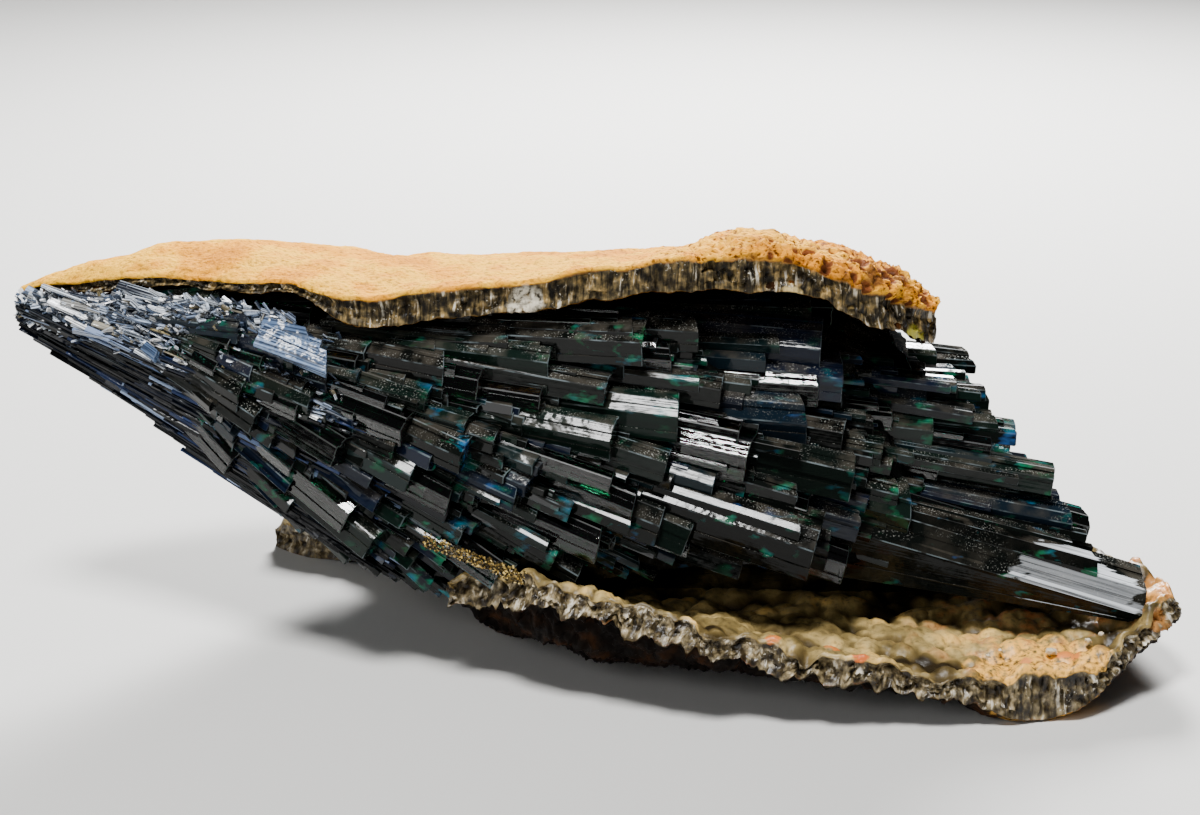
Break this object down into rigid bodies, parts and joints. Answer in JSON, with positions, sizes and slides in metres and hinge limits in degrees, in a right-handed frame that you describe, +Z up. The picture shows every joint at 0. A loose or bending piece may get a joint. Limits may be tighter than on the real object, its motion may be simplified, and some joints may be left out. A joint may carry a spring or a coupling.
{
  "type": "vivianite crystal specimen",
  "caption": "Hand-size fan of dark green prismatic vivianite crystals held between a domed tan crust plate and a shallow dish of olive-brown crust.",
  "frame": {"origin": "centre of the bounding box in plan, on the surface that the specimen rests on", "axes": "+X along the fan from its tip to the open end, +Y away from the side with the open crystal face, +Z up"},
  "size_m": [0.172, 0.0776, 0.063],
  "materials": {
    "tan_crust": "granular ochre-tan mineral crust, matte, with glassy brown broken edge",
    "olive_crust": "botryoidal olive-brown mineral crust, satin, rusty underneath",
    "vivianite": "polished, very dark green to blue-black crystal faces"
  },
  "bodies": {
    "root": {"upper_crust": "tan_crust", "lower_crust": "olive_crust", "vivianite_spray": "vivianite"}
  },
  "joints": []
}
